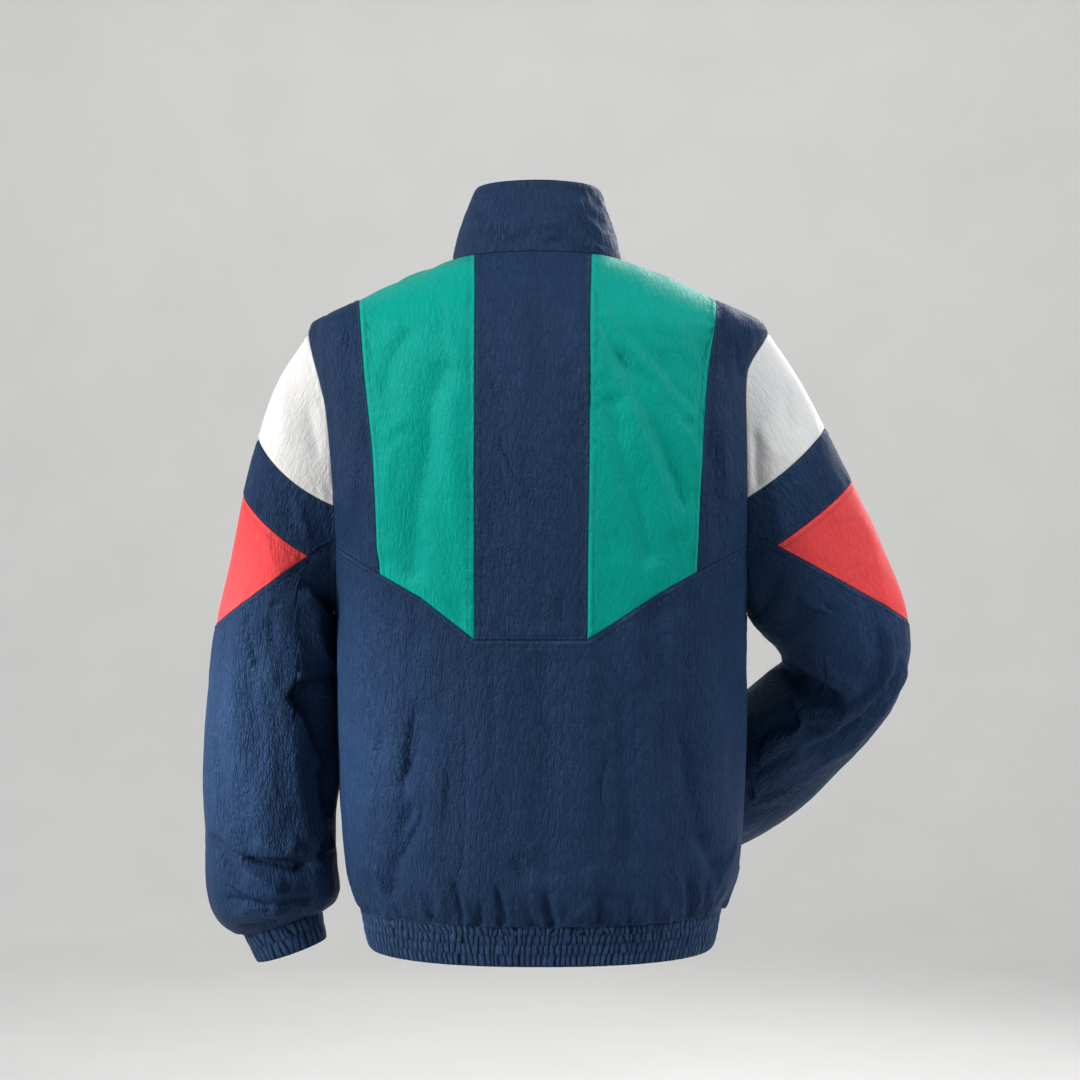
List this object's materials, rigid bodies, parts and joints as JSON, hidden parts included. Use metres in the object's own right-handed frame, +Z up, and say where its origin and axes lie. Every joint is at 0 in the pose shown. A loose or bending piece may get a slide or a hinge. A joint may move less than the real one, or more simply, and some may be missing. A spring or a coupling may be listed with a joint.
{
  "type": "windbreaker jacket",
  "caption": "Colour-blocked nylon windbreaker with a stand collar, full zip, elastic cuffs and waistband, in its worn shape.",
  "frame": {"origin": "middle of the neck opening at the height of the collar seam, where the wearer holds the jacket up", "axes": "+Z up along the body, -Y out of the front where the zip is, +X towards the wearer's left sleeve"},
  "size_m": [0.7093, 0.3635, 0.7736],
  "materials": {
    "navy_nylon": "crinkled plain-weave nylon with a dull sheen",
    "green_nylon": "smooth plain-weave nylon with a soft sheen",
    "white_nylon": "smooth plain-weave nylon with a soft sheen",
    "red_nylon": "smooth plain-weave nylon with a soft sheen",
    "navy_elastic": "nylon shirred over elastic, in fine ribs",
    "zip_tape": "woven zip tape",
    "zip_coil": "nylon coil",
    "nickel": "nickel-plated zinc"
  },
  "bodies": {
    "jacket": {"back_centre": "navy_nylon", "back_green_left": "green_nylon", "back_green_right": "green_nylon", "back_lower": "navy_nylon", "back_side_left": "navy_nylon", "back_side_right": "navy_nylon", "collar": "navy_nylon", "front_left": "navy_nylon", "front_right": "navy_nylon", "sleeve_left_band": "navy_nylon", "sleeve_left_cap": "white_nylon", "sleeve_left_cuff": "navy_elastic", "sleeve_left_lower": "navy_nylon", "sleeve_left_red": "red_nylon", "sleeve_right_band": "navy_nylon", "sleeve_right_cap": "white_nylon", "sleeve_right_cuff": "navy_elastic", "sleeve_right_lower": "navy_nylon", "sleeve_right_red": "red_nylon", "waistband": "navy_elastic", "zip_chain": "zip_coil", "zip_slider": "nickel", "zip_tape_left": "zip_tape", "zip_tape_right": "zip_tape"},
    "pull": {"zip_pull": "nickel"}
  },
  "joints": [
    {"name": "pull_swing", "type": "hinge", "parent": "jacket", "child": "pull", "pos_m": [0.00285, -0.06871, 0.02029], "axis": [-0.9999, 0.0052, 0.0108], "range_deg": [0, 150]}
  ]
}
